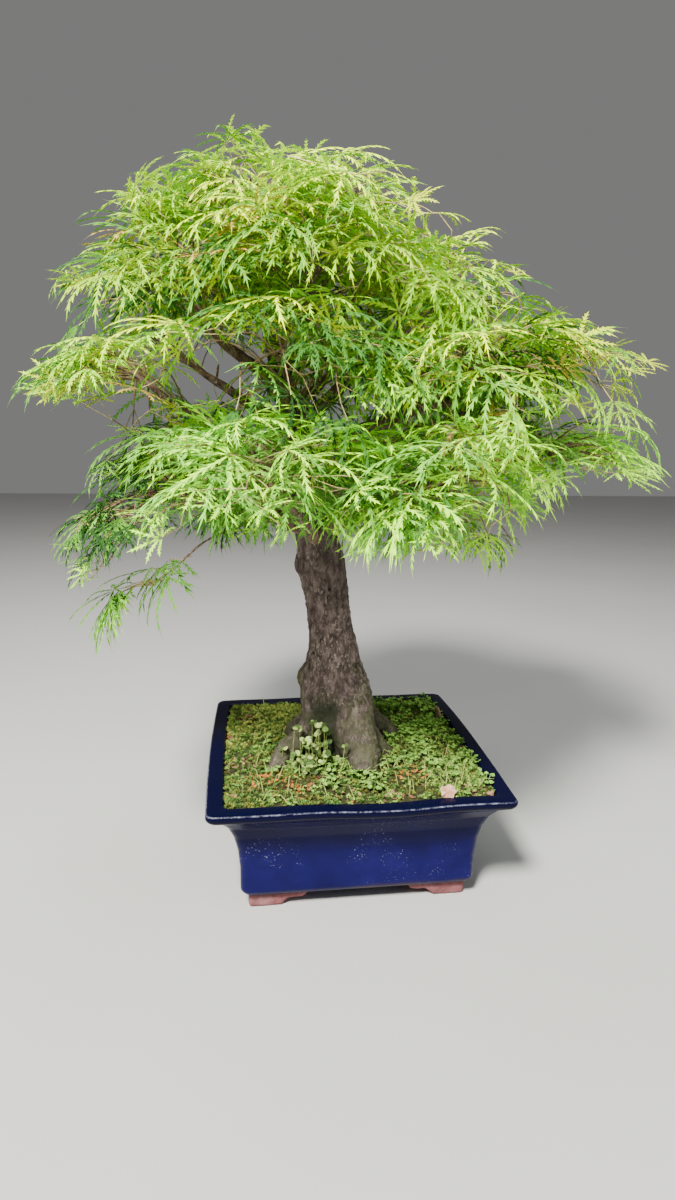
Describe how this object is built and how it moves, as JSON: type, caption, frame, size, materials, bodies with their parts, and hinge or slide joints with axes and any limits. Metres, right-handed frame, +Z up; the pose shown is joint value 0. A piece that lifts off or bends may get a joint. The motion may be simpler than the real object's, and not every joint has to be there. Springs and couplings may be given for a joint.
{
  "type": "japanese maple bonsai",
  "caption": "Broad-crowned weeping cut-leaf maple bonsai with a stout flared trunk, growing from moss in a square dark blue glazed pot on low clay feet.",
  "frame": {"origin": "middle of the whole outline seen from above, on the surface that the feet stand on", "axes": "+Z up along the trunk; +X to the right and -Y towards the viewer of the picture's front"},
  "size_m": [0.686, 0.5242, 0.7709],
  "materials": {
    "glaze": "glossy dark blue glaze on stoneware, worn pale along the lip",
    "foot_clay": "bare pinkish fired clay, matt",
    "moss": "moss and small weeds over soil, matt",
    "bark": "grey-brown fissured bark with green algae low down",
    "leaf": "soft satin leaves, yellow-green above and deeper green low down"
  },
  "bodies": {
    "root": {"pot": "glaze", "foot_front_left": "foot_clay", "foot_front_right": "foot_clay", "foot_back_right": "foot_clay", "foot_back_left": "foot_clay", "moss_bed": "moss", "trunk": "bark", "bough_front_low_left": "bark", "bough_low_left": "bark", "bough_weeping_left": "bark", "bough_mid_left": "bark", "bough_upper_left": "bark", "bough_apex_right": "bark", "bough_right_shoulder": "bark", "bough_right_mid": "bark", "bough_low_right": "bark", "bough_front_low_right": "bark", "bough_middle_right": "bark", "bough_middle_left": "bark", "bough_upper_front": "bark", "bough_back_low_left": "bark", "bough_back_low_right": "bark", "bough_back_right": "bark", "bough_back_left": "bark", "bough_back_middle": "bark", "bough_back_top": "bark", "foliage_front_low_left": "leaf", "foliage_low_left": "leaf", "foliage_weeping_left": "leaf", "foliage_mid_left": "leaf", "foliage_upper_left": "leaf", "foliage_apex_left": "leaf", "foliage_apex_right": "leaf", "foliage_right_shoulder": "leaf", "foliage_right_mid": "leaf", "foliage_low_right": "leaf", "foliage_front_low_right": "leaf", "foliage_middle_right": "leaf", "foliage_middle_left": "leaf", "foliage_upper_front": "leaf", "foliage_back_low_left": "leaf", "foliage_back_low_right": "leaf", "foliage_back_right": "leaf", "foliage_back_left": "leaf", "foliage_back_middle": "leaf", "foliage_back_top": "leaf"}
  },
  "joints": []
}
